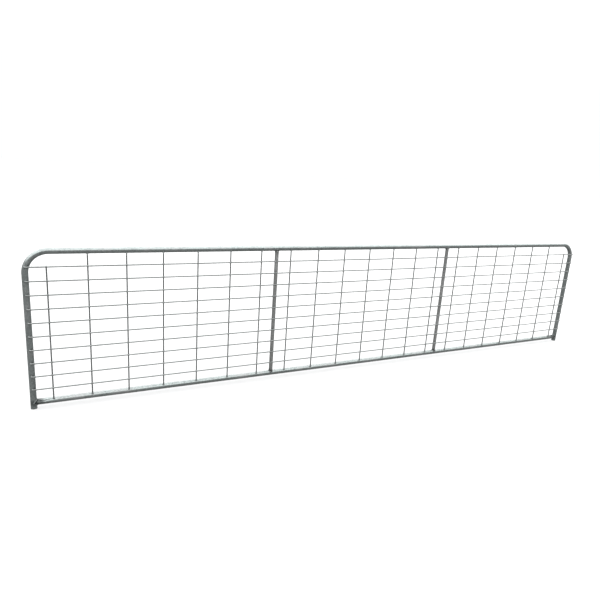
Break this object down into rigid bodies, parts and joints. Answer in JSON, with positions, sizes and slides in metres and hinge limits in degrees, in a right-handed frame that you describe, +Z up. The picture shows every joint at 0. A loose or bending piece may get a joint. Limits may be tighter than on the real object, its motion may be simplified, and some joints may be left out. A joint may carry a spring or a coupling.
{
  "type": "livestock panel gate",
  "caption": "Long field gate: a bent tube hoop with a bottom rail and two stays, filled with welded wire mesh to hold in sheep, goats or calves.",
  "frame": {"origin": "on the hinge leg's axis, at the open foot of the leg", "axes": "+X along the gate from the hinge leg to the latch leg, +Y through its thickness with the mesh face at -Y, +Z up"},
  "size_m": [4.2337, 0.0447, 0.8878],
  "materials": {
    "galvanised_tube": "hot-dip galvanised, dull spangle",
    "galvanised_wire": "galvanised, satin",
    "galvanised_weld": "galvanised over weld, rough"
  },
  "bodies": {
    "root": {"frame_hoop": "galvanised_tube", "bottom_rail": "galvanised_tube", "hinge_side_stay": "galvanised_tube", "latch_side_stay": "galvanised_tube", "lengthwise_wire_01": "galvanised_wire", "lengthwise_wire_02": "galvanised_wire", "lengthwise_wire_03": "galvanised_wire", "lengthwise_wire_04": "galvanised_wire", "lengthwise_wire_05": "galvanised_wire", "lengthwise_wire_06": "galvanised_wire", "lengthwise_wire_07": "galvanised_wire", "lengthwise_wire_08": "galvanised_wire", "lengthwise_wire_09": "galvanised_wire", "lengthwise_wire_10": "galvanised_wire", "upright_wire_01": "galvanised_wire", "upright_wire_02": "galvanised_wire", "upright_wire_03": "galvanised_wire", "upright_wire_04": "galvanised_wire", "upright_wire_05": "galvanised_wire", "upright_wire_06": "galvanised_wire", "upright_wire_07": "galvanised_wire", "upright_wire_08": "galvanised_wire", "upright_wire_09": "galvanised_wire", "upright_wire_10": "galvanised_wire", "upright_wire_11": "galvanised_wire", "upright_wire_12": "galvanised_wire", "upright_wire_13": "galvanised_wire", "upright_wire_14": "galvanised_wire", "upright_wire_15": "galvanised_wire", "upright_wire_16": "galvanised_wire", "upright_wire_17": "galvanised_wire", "upright_wire_18": "galvanised_wire", "upright_wire_19": "galvanised_wire", "upright_wire_20": "galvanised_wire", "upright_wire_21": "galvanised_wire", "hinge_leg_rail_weld": "galvanised_weld", "latch_leg_rail_weld": "galvanised_weld", "hinge_side_stay_top_weld": "galvanised_weld", "hinge_side_stay_foot_weld": "galvanised_weld", "latch_side_stay_top_weld": "galvanised_weld", "latch_side_stay_foot_weld": "galvanised_weld", "hinge_leg_wire_tacks": "galvanised_weld", "latch_leg_wire_tacks": "galvanised_weld", "hinge_side_stay_tacks": "galvanised_weld", "latch_side_stay_tacks": "galvanised_weld", "top_rail_wire_tacks": "galvanised_weld", "bottom_rail_wire_tacks": "galvanised_weld"}
  },
  "joints": []
}
